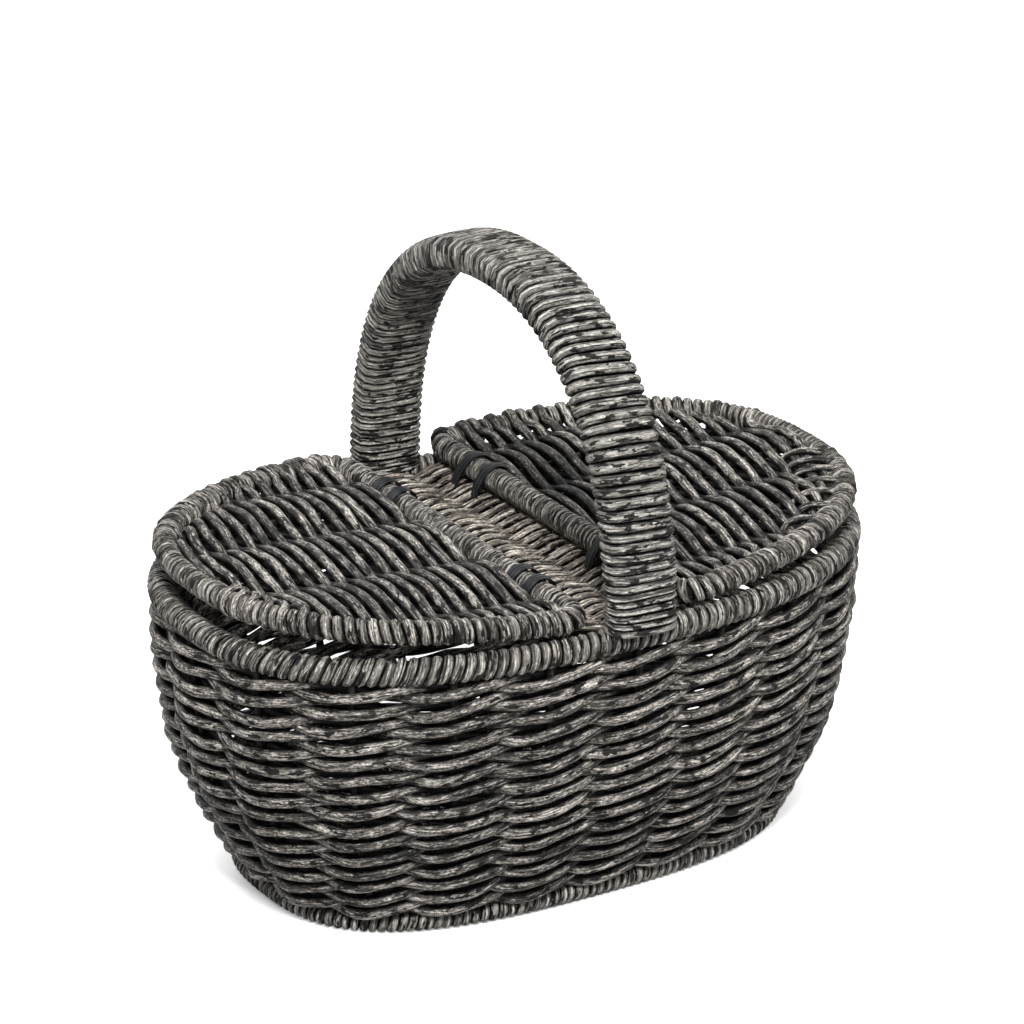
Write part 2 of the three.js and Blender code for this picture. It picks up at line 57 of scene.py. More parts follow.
def stand_camera(azimuth, elevation, distance, lens, target):
    """A camera that looks at the target from an angle round it and above it, in degrees."""
    a, e = math.radians(azimuth), math.radians(elevation)
    back = Vector((math.sin(a) * math.cos(e), -math.cos(a) * math.cos(e), math.sin(e)))
    data = bpy.data.cameras.new("photo_camera")
    data.lens, data.sensor_width, data.clip_end = lens, SENSOR, FAR_CLIP
    camera = bpy.data.objects.new("photo_camera", data)
    bpy.context.scene.collection.objects.link(camera)
    camera.location = (Vector(target) + back * distance) * MM
    camera.rotation_euler = back.to_track_quat("Z", "Y").to_euler()
    bpy.context.scene.camera = camera
    return camera


camera = stand_camera(azimuth=-31.49, elevation=22.41, distance=3200, lens=197.37,
                      target=(18.87, 26.81, 185.92))
print("camera at", camera.location)

# %% [markdown]
# Shader maths reads best as plain sums. A small class wraps a socket, so that `1 - mask * 0.5` adds its
# own Math nodes.


# %% Shader sums
class Wire:
    """A socket of a finish that can be written into a sum."""

    def __init__(self, finish, socket):
        self.finish, self.socket = finish, socket

    def sum(self, operation, a, b):
        return self.finish.node("ShaderNodeMath", {"operation": operation}, {0: a, 1: b})

    def __add__(self, other):
        return self.sum("ADD", self, other)

    def __sub__(self, other):
        return self.sum("SUBTRACT", self, other)

    def __rsub__(self, other):
        return self.sum("SUBTRACT", other, self)

    def __mul__(self, other):
        return self.sum("MULTIPLY", self, other)

    __radd__, __rmul__ = __add__, __mul__


# %% [markdown]
# A finish is a material whose nodes are added one by one round its shader. One method adds any node by
# its type, settings and socket values.


# %% A finish and its nodes
class Finish:
    """A material with a Principled shader, whose fixed values are given by name."""

    def __init__(self, name, **constants):
        self.material = bpy.data.materials.new(name)
        self.material.use_nodes = True
        self.tree = self.material.node_tree
        self.shader = self.tree.nodes["Principled BSDF"]
        for socket, value in constants.items():
            self.shader.inputs[socket.replace("_", " ")].default_value = value

    def feed(self, socket, value):
        """Links a wire to a socket, or sets its value."""
        if isinstance(value, Wire):
            self.tree.links.new(value.socket, socket)
        else:
            socket.default_value = value

    def node(self, kind, settings=None, sockets=None, out=0):
        """Adds a node and gives one of its outputs."""
        new = self.tree.nodes.new(kind)
        for name, value in (settings or {}).items():
            if name == "stops":
                ramp = new.color_ramp.elements
                while len(ramp) < len(value):
                    ramp.new(0.5)
                for element, (place, colour) in zip(ramp, value):
                    element.position, element.color = place, (*colour, 1)
            else:
                setattr(new, name, value)
        for name, value in (sockets or {}).items():
            self.feed(new.inputs[name], value)
        return Wire(self, new.outputs[out])

    def shows(self, **sockets):
        """Feeds the shader and gives the finished material."""
        for name, value in sockets.items():
            self.feed(self.shader.inputs[name.replace("_", " ")], value)
        return self.material


# %% [markdown]
# The basket stands on a seamless white sweep. To the camera the floor glows white everywhere but under
# the basket and close round its foot, where the soft shadow stays. The glow is for the camera alone: to
# all other light the floor is a plain grey surface, so nothing shines on the basket for the sake of the
# background.

# %% The floor
FLOOR_SIZE = 12.0
FOOT_SPAN = (0.17, 0.11)  # a little more than half its length and width, in metres
NEAR_GLOW, FAR_GLOW = (0.85, 1.12, 0.82), (4, 12, 0.18)  # from and to, in such spans, and how much
bm = bmesh.new()
bmesh.ops.create_grid(bm, x_segments=1, y_segments=1, size=FLOOR_SIZE / 2)
floor_mesh = bpy.data.meshes.new("floor")
bm.to_mesh(floor_mesh)
bm.free()
floor = bpy.data.objects.new("floor", floor_mesh)
bpy.context.scene.collection.objects.link(floor)

floor_finish = Finish("white_sweep", Roughness=0.9, Specular_IOR_Level=0.0, Emission_Strength=1.0)
seen = floor_finish.node("ShaderNodeLightPath", out="Is Camera Ray")


def grey_between(share, low, high):
    return floor_finish.node("ShaderNodeMix", {"data_type": "RGBA"}, {
        "Factor": share, "A": (low,) * 3 + (1,), "B": (high,) * 3 + (1,)}, out=2)


spot = floor_finish.node("ShaderNodeTexCoord", out="Object")
spot = floor_finish.node("ShaderNodeVectorMath", {"operation": "MULTIPLY"},
                         {0: spot, 1: (1 / FOOT_SPAN[0], 1 / FOOT_SPAN[1], 0)})
spot = floor_finish.node("ShaderNodeVectorMath", {"operation": "LENGTH"}, {0: spot}, out="Value")
near_floor, far_floor = (floor_finish.node("ShaderNodeMapRange", {"clamp": True}, {
    "Value": spot, "From Min": start, "From Max": end, "To Min": 0.0, "To Max": share})
    for start, end, share in (NEAR_GLOW, FAR_GLOW))
open_floor = near_floor + far_floor
floor_finish.shows(Base_Color=grey_between(seen, 0.55, 0.9),
                   Emission_Color=grey_between(seen * open_floor, 0.0, 1.0))
floor_mesh.materials.append(floor_finish.material)
print("floor", FLOOR_SIZE, "m wide")

# %% [markdown]
# The world behind the floor is white to the camera, to mirrors and to glass, and dim to everything else.
# Three large round lamps do the lighting. The key stands in front on the left and high, as the pale tops
# and dark undersides of the strands show, a weak fill stands on the right, and one more lamp behind.

# %% The world and the lamps
SKY_ON_THINGS = 0.06

world = bpy.data.worlds.new("studio")
bpy.context.scene.world = world
world.use_nodes = True
nodes, links = world.node_tree.nodes, world.node_tree.links
paths = nodes.new("ShaderNodeLightPath")
white = paths.outputs["Is Camera Ray"]
for ray in ("Is Glossy Ray", "Is Transmission Ray"):
    either = nodes.new("ShaderNodeMath")
    either.operation = "MAXIMUM"
    links.new(white, either.inputs[0])
    links.new(paths.outputs[ray], either.inputs[1])
    white = either.outputs[0]
strength = nodes.new("ShaderNodeMapRange")
strength.inputs["To Min"].default_value = SKY_ON_THINGS
strength.inputs["To Max"].default_value = 1.0
links.new(white, strength.inputs["Value"])
sky = nodes["Background"]
sky.inputs["Color"].default_value = (1, 1, 1, 1)
links.new(strength.outputs[0], sky.inputs["Strength"])


def lamp(name, place, size, watts, target=(0, 0, 0.15)):
    """A round lamp of a size in metres that points at the middle of the basket."""
    data = bpy.data.lights.new(name, "AREA")
    data.shape, data.size, data.energy = "DISK", size, watts
    new = bpy.data.objects.new(name, data)
    bpy.context.scene.collection.objects.link(new)
    new.location = place
    new.rotation_euler = (Vector(place) - Vector(target)).to_track_quat("Z", "Y").to_euler()


lamp("key", (-0.9, -1.7, 2.45), size=0.7, watts=85)
lamp("fill", (2.0, -1.1, 2.0), size=0.9, watts=20)
lamp("back", (-1.0, 1.6, 2.3), size=1.0, watts=26)
bpy.context.scene.view_settings.view_transform = "Standard"
print("lamps:", [light.name for light in bpy.data.lights])

# %% [markdown]
# A grey-stained cane is not one colour. The dark stain gathers in blots, and fine fibres run along each
# strand. The crevices of the weave and the flanks of each strand are painted dark as shade, the crests keep
# their colour, and the palest flecks are partly painted glints. So the pattern must follow the strand, not
# the basket. Every strand carries three attributes: `lay`, its own coordinates in metres (along it, across
# it, out of it), `tone`, a number of its own, and `rub`, which says how far each place stands out
# of the weave; where it is low, the place is painted dark as shade. The noises are long along the strand and
# narrow across it. The wound strands and the ties also have ridges, where their tone is high, with painted
# shade in the grooves between them.


# %% The finish of a strand
def strand_finish(name, pale_and_glint, middle, blot_and_shade, blot_share, roughness, ridges=0.0):
    """A stained cane with its palest colour, partly painted glints, its middle colour, and its darkest
    colour, for blots and for painted shading, and ridges a few mm apart, if any.

    Blot_share is the level of the patches' noise under which a place is stained dark.
    """
    finish = Finish(name, Specular_IOR_Level=0.2)
    lay = finish.node("ShaderNodeAttribute", {"attribute_name": "lay"}, out="Vector")
    tone = finish.node("ShaderNodeAttribute", {"attribute_name": "tone"}, out="Fac")
    rub = finish.node("ShaderNodeAttribute", {"attribute_name": "rub"}, out="Fac")

    def noise(along, across, detail, rough):
        """Noise whose grains are this many mm long and wide."""
        place = finish.node("ShaderNodeVectorMath", {"operation": "MULTIPLY"},
                            {0: lay, 1: (1 / (along * MM), 1 / (across * MM), 1 / (across * MM))})
        return finish.node("ShaderNodeTexNoise", {}, {"Vector": place, "Scale": 1.0, "Detail": detail,
                                                      "Roughness": rough})

    def ramp(value, low, high, bottom=0.0, top=1.0):
        return finish.node("ShaderNodeMapRange", {"clamp": True}, {
            "Value": value, "From Min": low, "From Max": high, "To Min": bottom, "To Max": top})

    fibre = noise(9, 1.0, 3, 0.65)
    grain = noise(2.0, 0.8, 2, 0.65)
    vein = noise(16, 1.3, 1, 0.5)
    patch = noise(9, 3.0, 2, 0.55)
    blots = ramp(patch + (grain - 0.5) * 0.1, blot_share, blot_share - 0.018)
    # The top of this mix reaches the palest colour; its bright flecks are pale fibres and painted glints.
    shade = ramp(fibre * 0.5 + grain * 0.5 + patch * 0.2 + tone * 0.1, 0.56, 0.775)
    shade = shade * shade
    # Painted shade: where the mask is low, deep in the weave and on the flanks, the colour goes to the
    # darkest one.
    painted_shade_factor = ramp(rub + (fibre - 0.5) * 0.9, 0.05, 0.75)

    def mix(factor, a, b):
        return finish.node("ShaderNodeMix", {"data_type": "RGBA"}, {"Factor": factor, "A": a, "B": b}, out=2)

    ground = mix(painted_shade_factor, (*blot_and_shade, 1), mix(shade, (*middle, 1), (*pale_and_glint, 1)))
    ground = mix(ramp(vein, 0.43, 0.37) * 0.8, ground, (*blot_and_shade, 1))
    height = fibre * 0.6 + grain * 0.4 - blots * 0.2
    if ridges:
        across = finish.node("ShaderNodeSeparateXYZ", {}, {"Vector": lay}, out="Y")
        wave = finish.node("ShaderNodeMath", {"operation": "COSINE"},
                           {0: across * (2 * math.pi / (ridges * MM))})
        grooved = ramp(tone + (patch - 0.5) * 0.8, 0.25, 0.65, 0.0, 0.9)
        height = height + wave * grooved * 0.5
        # Painted shade: the grooves between the ridges are darkened towards the darkest colour.
        ground = mix(ramp(wave + (fibre - 0.5) * 1.5, -0.9, -0.3, 0.85, 0.0) * grooved, ground, (*blot_and_shade, 1))
    bump = finish.node("ShaderNodeBump", {}, {"Height": height, "Strength": 0.8, "Distance": 0.0007},
                       out="Normal")
    return finish.shows(Base_Color=mix(blots * 0.96, ground, (*blot_and_shade, 1)),
                        Roughness=ramp(fibre, 0.35, 0.65, roughness + 0.1, roughness - 0.1), Normal=bump)


# %% [markdown]
# The wound strands of the handle and the foot are the palest and those of the borders next, partly in their
# own colour and partly as painted light that brightens them, those of the weave have the darkest ground, and
# the thin ones of the bridge are a little browner. The rods inside are plain dark cane.

# %% Mix the finishes
STAIN_AND_SHADE_DARK = (0.006, 0.0058, 0.0056)
weave_finish = strand_finish("grey_woven_strand", (0.88, 0.82, 0.745), (0.061, 0.055, 0.049),
                             STAIN_AND_SHADE_DARK, 0.42, roughness=0.42)
wrap_finish = strand_finish("grey_wound_strand", (1.0, 0.955, 0.875), (0.19, 0.176, 0.156),
                            STAIN_AND_SHADE_DARK, 0.415, roughness=0.42, ridges=1.7)
handle_finish = strand_finish("grey_handle_strand", (1.0, 0.97, 0.90), (0.31, 0.29, 0.259),
                              STAIN_AND_SHADE_DARK, 0.44, roughness=0.42, ridges=2.2)
bridge_finish = strand_finish("brown_grey_thin_strand", (0.95, 0.865, 0.75), (0.15, 0.131, 0.107),
                              STAIN_AND_SHADE_DARK, 0.38, roughness=0.5)
cane_finish = strand_finish("stained_rod", (0.10, 0.088, 0.075), (0.03, 0.027, 0.023),
                            (0.008, 0.0077, 0.0073), 0.5, roughness=0.7)
print("finishes:", [m.name for m in bpy.data.materials])

# %% [markdown]
# A strand is made the way it starts in the workshop: straight. `straight_cane` cuts a thin cylinder
# into rings. Canes of the same make are made once and used again.

# %% A straight cane
canes = {}


def straight_cane(rings, sides):
    """The mesh of a straight closed cane, with each vertex's ring and its angle round the cane."""
    if (rings, sides) not in canes:
        cane = bmesh.new()
        bmesh.ops.create_cone(cane, cap_ends=True, segments=sides, radius1=1, radius2=1, depth=rings - 1)
        long_edges = [e for e in cane.edges if abs(e.verts[0].co.z - e.verts[1].co.z) > 0.5]
        bmesh.ops.subdivide_edges(cane, edges=long_edges, cuts=rings - 2, use_grid_fill=True)
        mesh = bpy.data.meshes.new("cane")
        cane.to_mesh(mesh)
        cane.free()
        place = np.zeros(len(mesh.vertices) * 3)
        mesh.vertices.foreach_get("co", place)
        x, y, z = place.reshape(-1, 3).T
        canes[rings, sides] = mesh, np.rint(z + (rings - 1) / 2).astype(int), np.arctan2(y, x)
    return canes[rings, sides]


# %% [markdown]
# `bend` lays each ring of a straight cane across a path, with one side turned outwards, and may press
# the round section flat. Because all rings keep their order, the strand's own coordinates come free. A
# bundle gathers the strands of one piece, which then rides on a body and stands for the plain solids.


# %% How a cane is bent, and the bundle it goes into
def unit(v):
    return v / np.linalg.norm(v, axis=-1, keepdims=True)


def run_along(points, power=1):
    """The distance along a line at each of its points, with every step raised to a power."""
    steps = np.linalg.norm(np.diff(points, axis=0), axis=1)
    return np.concatenate([[0], np.cumsum(steps ** power)])


class Bundle:
    """Strands that become one piece."""

    def __init__(self, name, finish, slot, body):
        self.name, self.finish, self.slot, self.body = name, finish, slot, body
        self.bm, self.places, self.lays, self.tones, self.painted_shade_masks = bmesh.new(), [], [], [], []
        self.dice = random.Random(name)

    def bend(self, path, out, width, thick=None, sides=8, tone=None, lift=0.0, crest=(-1, 0),
             edge=0.1, fall=2):
        """A strand along a path, with its outward directions, width across and thickness, in mm.

        Lift is how far the path runs out of the middle of the weave, crest is the range of such heights
        over which the finish goes from full painted shading to none, edge is how much of the unshaded colour
        the flanks keep, and fall is how fast the painted shading grows towards them.
        """
        path, out = np.asarray(path, float), np.asarray(out, float)
        thick = width if thick is None else thick
        mesh, ring, angle = straight_cane(len(path), sides)
        ahead = unit(np.gradient(path, axis=0))
        side = unit(np.cross(ahead, out))
        out = np.cross(side, ahead)
        across = np.broadcast_to(np.asarray(width) / 2, len(path))[ring] * np.cos(angle)
        up = np.broadcast_to(np.asarray(thick) / 2, len(path))[ring] * np.sin(angle)
        self.places.append(path[ring] + across[:, None] * side[ring] + up[:, None] * out[ring])
        self.lays.append(np.c_[run_along(path)[ring] + self.dice.uniform(0, 9000), across, up])
        # Painted shade: places low in the weave and the flanks of the strand get a low mask, which the
        # finish paints dark.
        height = np.abs(up) + np.broadcast_to(lift, len(path))[ring] * np.clip(2 * np.sin(angle), -1, 1)
        flank = edge + (1 - edge) * np.abs(np.sin(angle)) ** fall
        self.painted_shade_masks.append(np.clip((height - crest[0]) / (crest[1] - crest[0]), 0, 1) * flank)
        tone = self.dice.random() if tone is None else tone
        self.tones.append(np.broadcast_to(np.asarray(tone, float), len(path))[ring])
        self.bm.from_mesh(mesh)

    def piece(self, *replaced):
        """Makes the piece, which stands for the plain solids that are named."""
        mesh = bpy.data.meshes.new(self.name)
        self.bm.to_mesh(mesh)
        self.bm.free()
        mesh.vertices.foreach_set("co", (np.concatenate(self.places) * MM).ravel())
        lay = mesh.attributes.new("lay", "FLOAT_VECTOR", "POINT")
        lay.data.foreach_set("vector", (np.concatenate(self.lays) * MM).ravel())
        for name, rows in (("tone", self.tones), ("rub", self.painted_shade_masks)):
            mesh.attributes.new(name, "FLOAT", "POINT").data.foreach_set("value", np.concatenate(rows))
        mesh.shade_smooth()
        mesh.materials.append(self.finish)
        mesh.update()
        new = bpy.data.objects.new(self.name, mesh)
        bpy.context.scene.collection.objects.link(new)
        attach(new, self.body)
        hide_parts(*replaced)
        print(self.name, "strands:", len(self.places), "faces:", len(mesh.polygons))


# %% [markdown]
# The plainest strand is a straight rod. It can be worked flat and placed afterwards, as the lids are.


# %% A straight rod
def as_it_is(rows, direction=False):
    """The place of rows that are worked where they belong."""
    return rows


def lay_rod(bundle, start, end, steps, width, thick=None, sides=8, place=as_it_is):
    """A straight rod between two points, with its flat side up."""
    bundle.bend(place(np.linspace(start, end, steps)), place([(0, 0, 1)], True), width, thick, sides=sides)


# %% [markdown]
# The basket's plan is an oval that is a little squarer than an ellipse. Its foot and its rim are two
# such ovals. The stakes stand evenly along the rim, so a table of its length turns their count into an
# angle.

# %% The ovals of rim and foot
RIM_LENGTH, RIM_WIDTH, RIM_THICK, RIM_SQUARE, RIM_HEIGHT = 420, 289, 16, 2.42, 174.6
FOOT_LENGTH, FOOT_WIDTH, FOOT_THICK, FOOT_SQUARE, FOOT_HEIGHT = 328, 201, 12, 2.85, 5.9
STAKES = 20

rim_oval = np.array([(RIM_LENGTH - RIM_THICK) / 2, (RIM_WIDTH - RIM_THICK) / 2, RIM_SQUARE])
foot_oval = np.array([(FOOT_LENGTH - FOOT_THICK) / 2, (FOOT_WIDTH - FOOT_THICK) / 2, FOOT_SQUARE])


def oval_point(oval, angle):
    """Places on an oval, given by half length, half width and squareness."""
    c, s = np.cos(angle), np.sin(angle)
    length, width, square = np.asarray(oval, float).T
    r = (np.abs(c) ** square + np.abs(s) ** square) ** (-1 / square)
    return np.stack([length * c * r, width * s * r], -1)


FINE = 2881  # points round the rim
fine_angles = np.linspace(0, 2 * np.pi, FINE)
fine_run = run_along(oval_point(rim_oval, fine_angles))
rim_run = fine_run[-1]


def stake_angle(count):
    """The angle at a count of stakes, which stand evenly along the rim."""
    whole = np.floor(np.asarray(count) / STAKES)
    share = np.asarray(count) / STAKES - whole
    return np.interp(share * rim_run, fine_run, fine_angles) + 2 * np.pi * whole


print("rim line", round(float(rim_run)), "mm round, stakes", round(float(rim_run) / STAKES, 1), "mm apart")

# %% [markdown]
# The wall swells between foot and rim. `wall_point` gives any place on the line of the stakes from a
# count of stakes round the basket and a height, so every course of weaving can follow it.

# %% The shape of the wall
WALL_SWELL = [0, 0.36, 0.7, 0.89, 0.985, 1]


def swell(rise):
    """Share of the way out from foot to rim at a share of the height, on a smooth curve."""
    steps = len(WALL_SWELL) - 1
    at = np.clip(np.asarray(rise, float), 0, 1) * steps
    k = np.minimum(at.astype(int), steps - 1)
    w = at - k
    y = np.array(WALL_SWELL)
    p0, p1 = y[np.maximum(k - 1, 0)], y[k]
    p2, p3 = y[k + 1], y[np.minimum(k + 2, steps)]
    v0, v1 = (p2 - p0) / 2, (p3 - p1) / 2
    return (2 * p1 - 2 * p2 + v0 + v1) * w ** 3 + (-3 * p1 + 3 * p2 - 2 * v0 - v1) * w ** 2 + v0 * w + p1


def wall_point(count, height):
    """A place on the wall's middle line at a count of stakes and a height."""
    count, height = np.broadcast_arrays(np.asarray(count, float), np.asarray(height, float))
    share = swell((height - FOOT_HEIGHT) / (RIM_HEIGHT - FOOT_HEIGHT))[..., None]
    plan = oval_point(foot_oval + (rim_oval - foot_oval) * share, stake_angle(count))
    return np.concatenate([plan, height[..., None]], -1)


def wall_frame(count, height):
    """A place on the wall, with its outward direction and its direction up the wall."""
    here = wall_point(count, height)
    count, height = np.asarray(count), np.asarray(height)
    around = unit(wall_point(count + 0.02, height) - wall_point(count - 0.02, height))
    up = unit(wall_point(count, height + 0.5) - wall_point(count, height - 0.5))
    return here, unit(np.cross(around, up)), up


# %% [markdown]
# The wall is twined. Two strands go round together, one in front of each stake and one behind it, and
# they twist over each other between the stakes. Seen from the front every stroke comes out low at its
# left end, sags a little over its stake and dives behind the next stroke at its right end. A twist is
# a cosine in and out together with a sine up and down, so no strand needs to be drawn by hand. The
# crossings drift a little from the middle between two stakes, and both strands of a course share that
# drift, so that they still cross.

# %% Weave the wall
COURSES = 15
WEAVE_LOW, WEAVE_HIGH = 12.3, 167.5
WALL_LOW, WALL_HIGH = 9, 172
STRAND, INSIDE_WIDER = 6.3, 0.25
TWIST_OUT, TWIST_UP, SAG, BACK_RISE = 4.8, 2.4, 1.2, 0.1
FLAT_CREST = 0.8  # under 1, a strand stays out longer where it passes a stake
DRIFT_SEED, STEPS_PER_STAKE = 100, 10
# How uneven the handwork is: drift in radians of the twist, level and rise in mm, the rest as shares.
DRIFT, LEVEL_WAVES, RISE_WAVES, OUT_WAVES, WIDTH_WAVES, TONE_WAVES = 0.24, 0.42, 0.45, 0.06, 0.05, 0.25


def slow_waves(dice, steps, loops, size):
    """A smooth closed wander, as the sum of a few slow waves."""
    turn = np.linspace(0, 2 * np.pi, steps)
    return sum(size / len(loops) ** 0.5 * dice.gauss(0, 1) * np.sin(n * turn + dice.uniform(0, 6.3))
               for n in loops)


wall = Bundle("woven_wall", weave_finish, "woven_strand", "root")
steps = STAKES * STEPS_PER_STAKE + 1
count = np.linspace(0, STAKES, steps)
for course in range(COURSES):
    height = WEAVE_LOW + (course + 0.5) / COURSES * (WEAVE_HIGH - WEAVE_LOW)
    drift = slow_waves(random.Random(course + DRIFT_SEED), steps, (7, 11, 16, 21), DRIFT)
    for twin in range(2):
        dice = random.Random(course * 2 + twin)
        shift = 0.5 + twin
        level = height + slow_waves(dice, steps, (3, 5, 8, 11), LEVEL_WAVES)
        here, out, up = wall_frame(count + shift, np.clip(level, WALL_LOW, WALL_HIGH))
        moved = np.roll(drift[:-1], -twin * STEPS_PER_STAKE)
        turn = np.pi * (count + shift - twin) + np.append(moved, moved[0])
        across = np.cos(turn)
        outward = (TWIST_OUT * np.sign(across) * np.abs(across) ** FLAT_CREST
                   * (1 + slow_waves(dice, steps, (6, 9), OUT_WAVES)))
        upward = TWIST_UP * np.sin(turn) - np.where(across > 0, SAG, BACK_RISE) * across
        upward += slow_waves(dice, steps, (13, 17), RISE_WAVES)
        width = STRAND * (1 + slow_waves(dice, steps, (4, 7, 10), WIDTH_WAVES)
                          + INSIDE_WIDER * np.clip(-across, 0, 1))
        tone = 0.5 + slow_waves(dice, steps, (3, 7, 9), TONE_WAVES) + dice.uniform(-0.15, 0.15)
        # Where a strand runs behind a stake, and on its flanks, it is painted dark as shade.
        wall.bend(here + out * outward[:, None] + up * upward[:, None], out, width, sides=10,
                  tone=np.clip(tone, 0, 1), lift=outward, crest=(-0.5, 4.5), edge=0.35)
wall.piece("wall_weave")

# %% [markdown]
# The stakes are the warp of the wall. They stand evenly along the rim, and they show only as dark
# uprights in the gaps between two courses, so plain round rods in a darker, unsorted cane do.

# %% Stand the stakes
STAKE, STAKE_LOW, STAKE_HIGH = 5.0, 9, 173
stakes = Bundle("wall_stakes", cane_finish, "cane", "root")
for k in range(STAKES):
    heights = np.linspace(STAKE_LOW, STAKE_HIGH, 18)
    here, out, _ = wall_frame(k, heights)
    stakes.bend(here, out, STAKE)
stakes.piece(*[f"stake_{k + 1:02d}" for k in range(STAKES)])

# %% [markdown]
# The borders, the handle and the hoops of the lids are all wound: one strand goes round and round a
# core. A `Track` is the line of such a core with two directions across it.


# %% The line of a core
class Track:
    """A line in space with two directions across it, read by the distance along it."""

    def __init__(self, points, out, up):
        self.points, self.out = np.asarray(points, float), np.broadcast_to(out, np.shape(points))
        self.up = np.broadcast_to(up, np.shape(points))
        self.run = run_along(self.points)
        self.length = self.run[-1]

    def at(self, run):
        def read(rows):
            return np.stack([np.interp(run, self.run, rows[:, i]) for i in range(3)], -1)
        return read(self.points), unit(read(self.out)), unit(read(self.up))


# %% [markdown]
# `wind` runs a strand round a track. No two turns of handwork are alike, so their widths vary a little
# and they lean in places.

# %% A winding
AROUND = 721  # points round an oval
PLUMP = 0.97  # width of a strand, as a share of its turn
NARROWEST, WIDEST = 0.7, 1.35  # turns, as shares of the pitch


def even_angles(oval, count):
    """Angles that cut an oval into even lengths, as a table over one turn."""
    angles = np.linspace(0, 2 * np.pi, AROUND)
    run = run_along(oval_point(oval, angles))
    return np.interp(np.linspace(0, run[-1], count + 1), run, angles)


def wind(bundle, track, oval, pitch, thick, lean, per_turn=12, first=0.0, last=None, uneven=0.07,
         slant=None, tones=(0.0, 1.0), place=as_it_is):
    """One strand wound round a track, on an oval (half out, half up, squareness) of its section.

    Pitch may change along the track. Lean is how far the turns tip along it here and there, and slant
    how far they lie askew, in mm. The turns are given back as counts, places and directions.
    """
    dice = bundle.dice
    last = track.length if last is None else last
    pitch_at = pitch if callable(pitch) else lambda run: pitch
    marks = [first]
    while marks[-1] < last:
        share = min(max(1 + uneven * dice.gauss(0, 1), NARROWEST), WIDEST)
        marks.append(marks[-1] + pitch_at(marks[-1]) * share)
    marks = first + (np.array(marks) - first) * (last - first) / (marks[-1] - first)
    turns = len(marks) - 1
    turn = np.linspace(0, turns, turns * per_turn + 1)
    angle = np.interp((turn % 1) * per_turn, np.arange(per_turn + 1), even_angles(oval, per_turn))
    along = np.interp(turn, np.arange(turns + 1), marks)
    shift = lean * slow_waves(dice, len(turn), (2, 3, 5, 7, 11), 1.0) * np.sin(angle + 0.6)
    if slant:
        shift = shift + slant(along / track.length) * np.sin(angle)
    middle, out, up = track.at(np.clip(along + shift, first, last))
    spot = oval_point(oval, angle)
    path = middle + spot[:, :1] * out + spot[:, 1:] * up
    outward = unit(np.cross(np.gradient(path, axis=0), np.cross(out, up)))
    outward *= np.sign((outward * (path - middle)).sum(1, keepdims=True))
    width = np.interp(turn, np.arange(turns) + 0.5, np.diff(marks)) * PLUMP
    tone = np.interp(turn, np.arange(turns + 1), [dice.uniform(*tones) for _ in range(turns + 1)])
    # The flanks of every turn are painted dark as shade.
    bundle.bend(place(path), place(outward, True), width, np.minimum(thick, width * 0.95), tone=tone,
                edge=0.0, fall=3)
    return turn, path, outward


# %% [markdown]
# The rim and the foot are such wound rings. In the photograph the rim's turns lie askew along one
# stretch of its front, and the foot's turns are narrower than the rim's.

# %% Wind the rim and the foot
RIM_TURN, RIM_STRAND = 6.1, 4.6
FOOT_TURN, FOOT_STRAND = 5.1, 3.6
ASKEW, ASKEW_AT, ASKEW_OVER = 1.7, 0.35, 0.09


def ring_track(oval, height):
    """The closed line of a border at a height, started at the back where its joint is hidden."""
    plan = oval_point(oval, stake_angle(np.linspace(0.25, 1.25, AROUND) * STAKES))
    points = np.c_[plan, np.full(AROUND, height)]
    ahead = np.gradient(points, axis=0)
    ahead[0] = ahead[-1] = ahead[0] + ahead[-1]
    return Track(points, unit(np.cross(ahead, (0, 0, 1))), (0, 0, 1))


rim = Bundle("rim_winding", wrap_finish, "wrapping_strand", "root")
reach = (RIM_THICK - RIM_STRAND) / 2
turns = wind(rim, ring_track(rim_oval, RIM_HEIGHT), (reach, reach, 2), RIM_TURN, RIM_STRAND, lean=0.9,
             slant=lambda share: ASKEW * np.exp(-((share - ASKEW_AT) / ASKEW_OVER) ** 4))
print("rim turns:", turns[0][-1])
rim.piece("rim_wrap")
foot = Bundle("foot_winding", handle_finish, "wrapping_strand", "root")
reach = (FOOT_THICK - FOOT_STRAND) / 2
turns = wind(foot, ring_track(foot_oval, FOOT_HEIGHT), (reach, reach, 2), FOOT_TURN, FOOT_STRAND, lean=0.9)
print("foot turns:", turns[0][-1])
foot.piece("foot_wrap")


def stain(finish, *names):
    """Gives plain solids that stay a finish."""
    for name in names:
        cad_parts[name].data.materials.clear()
        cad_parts[name].data.materials.append(finish)


stain(cane_finish, "rim_core", "foot_core")

# %% [markdown]
# The handle is an arch of rods under one winding. Its section is a flat oval, so the winding runs on a
# squarer oval than a circle, and the strand lies flat on it. The lowest turns cover the top of the rim.
# The turns are narrow at the front foot, wide up the front leg and narrower again down the back.

# %% Wind the handle
HANDLE_OUTSET, HANDLE_RISE, HANDLE_SQUARE, HANDLE_FOOT = 1.5, 172, 2.3, 177.0
HANDLE_WIDTH, HANDLE_THICK, HANDLE_STRAND = 43, 21, 4.4
SECTION_SQUARE, HANDLE_MARGIN = 4.0, 2.5
HANDLE_PITCH = (0, 0.04, 0.07, 0.45, 0.8), (3.8, 4.0, 6.4, 6.1, 4.9)  # at shares of the arch, in mm

